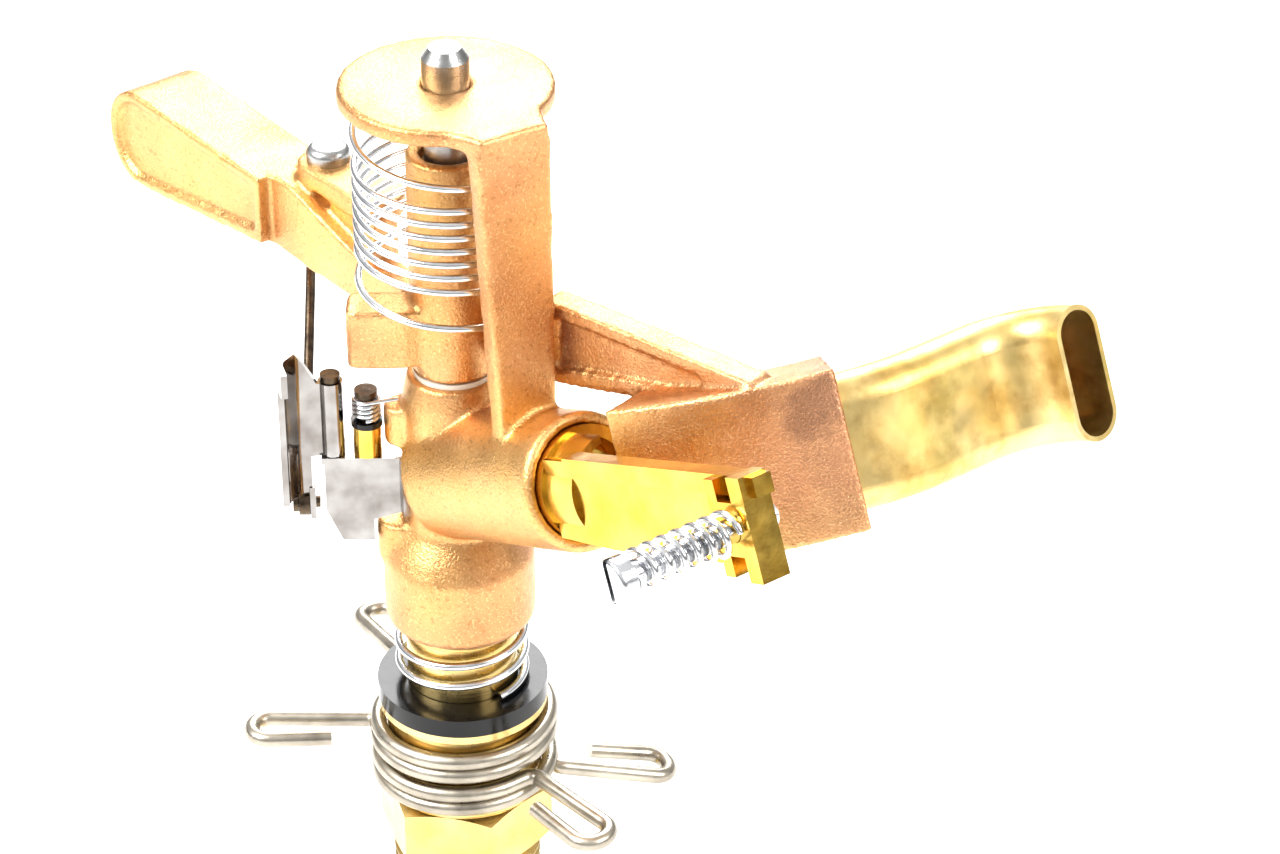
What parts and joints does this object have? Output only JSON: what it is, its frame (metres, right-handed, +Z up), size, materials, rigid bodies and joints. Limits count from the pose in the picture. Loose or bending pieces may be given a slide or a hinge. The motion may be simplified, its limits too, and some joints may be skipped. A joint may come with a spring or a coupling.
{
  "type": "impact sprinkler head",
  "caption": "Cast bronze impact sprinkler head: a nozzle on a turning body, a spring-returned drive arm with a curved jet tube, and wire trip collars.",
  "frame": {"origin": "on the swivel axis at the lower end of the inlet's pipe thread", "axes": "+Z up the swivel axis and out of the pipe; +X the way the nozzle points, seen from above; +Y left of the nozzle"},
  "size_m": [0.1524, 0.0826, 0.1456],
  "materials": {
    "cast_bronze": "sand-cast bronze, matt and slightly granular",
    "bright_brass": "polished",
    "nipple_brass": "machined, satin",
    "tube_brass": "drawn tube, satin",
    "deflector_brass": "drawn tube with heat stains",
    "spring_steel": "bright drawn stainless wire",
    "collar_steel": "dull drawn wire",
    "pin_steel": "turned stainless steel",
    "trip_steel": "pressed stainless sheet, bright",
    "dark_steel": "dark oiled steel",
    "black_washer": "glossy black",
    "thrust_plastic": "moulded, matt",
    "seal_rubber": "matt"
  },
  "bodies": {
    "inlet": {"inlet_nipple": "nipple_brass", "top_bearing_washer": "black_washer", "seal_washer": "seal_rubber"},
    "head": {"thrust_washer": "thrust_plastic", "bearing_tube": "tube_brass", "bearing_spring": "spring_steel", "body_casting": "cast_bronze", "fulcrum_pin": "pin_steel", "hub_washer": "thrust_plastic", "nozzle_washer": "seal_rubber", "nozzle": "bright_brass", "nozzle_bracket": "bright_brass", "diffuser_spring": "spring_steel", "arm_spring": "spring_steel", "trip_bracket": "trip_steel", "coil_post": "dark_steel", "coil_post_bush": "bright_brass", "coil_post_washer": "black_washer", "toggle_spring": "spring_steel", "trip_hinge_pin": "dark_steel"},
    "arm": {"arm_casting": "cast_bronze", "arm_lower_bush": "thrust_plastic", "arm_upper_bush": "thrust_plastic", "jet_tube": "deflector_brass", "ear_screw": "pin_steel"},
    "diffuser": {"diffuser_screw": "spring_steel"},
    "lever": {"trip_lever": "trip_steel", "trip_rivet": "dark_steel"},
    "folding_pin": {"trip_pin": "dark_steel"},
    "upper_collar": {"upper_trip_collar": "collar_steel"},
    "lower_collar": {"lower_trip_collar": "collar_steel"}
  },
  "joints": [
    {"name": "head_swivel", "type": "hinge", "parent": "inlet", "child": "head", "pos_m": [0, 0, 0.045], "axis": [0, 0, 1], "continuous": true},
    {"name": "arm_swing", "type": "hinge", "parent": "head", "child": "arm", "pos_m": [0, 0, 0.11], "axis": [0, 0, 1], "range_deg": [0, 110], "stiffness_Nm_per_rad": 0.01, "springref_deg": -40.11, "deforming": ["arm_spring"]},
    {"name": "diffuser_feed", "type": "slide", "parent": "head", "child": "diffuser", "axis": [0, 1, 0], "range_m": [0, 0.007], "deforming": ["diffuser_spring"]},
    {"name": "lever_turn", "type": "hinge", "parent": "head", "child": "lever", "pos_m": [-0.01023, -0.01358, 0.085], "axis": [0, 0, 1], "range_deg": [0, 64], "deforming": ["toggle_spring"]},
    {"name": "pin_fold", "type": "hinge", "parent": "lever", "child": "folding_pin", "pos_m": [-0.0127, -0.01685, 0.0713], "axis": [-0.6018, -0.7986, 0], "range_deg": [0, 106]},
    {"name": "upper_collar_turn", "type": "hinge", "parent": "inlet", "child": "upper_collar", "pos_m": [0, 0, 0.034], "axis": [0, 0, 1], "range_deg": [-45, 45]},
    {"name": "lower_collar_turn", "type": "hinge", "parent": "inlet", "child": "lower_collar", "pos_m": [0, 0, 0.027], "axis": [0, 0, 1], "range_deg": [-45, 45]}
  ]
}
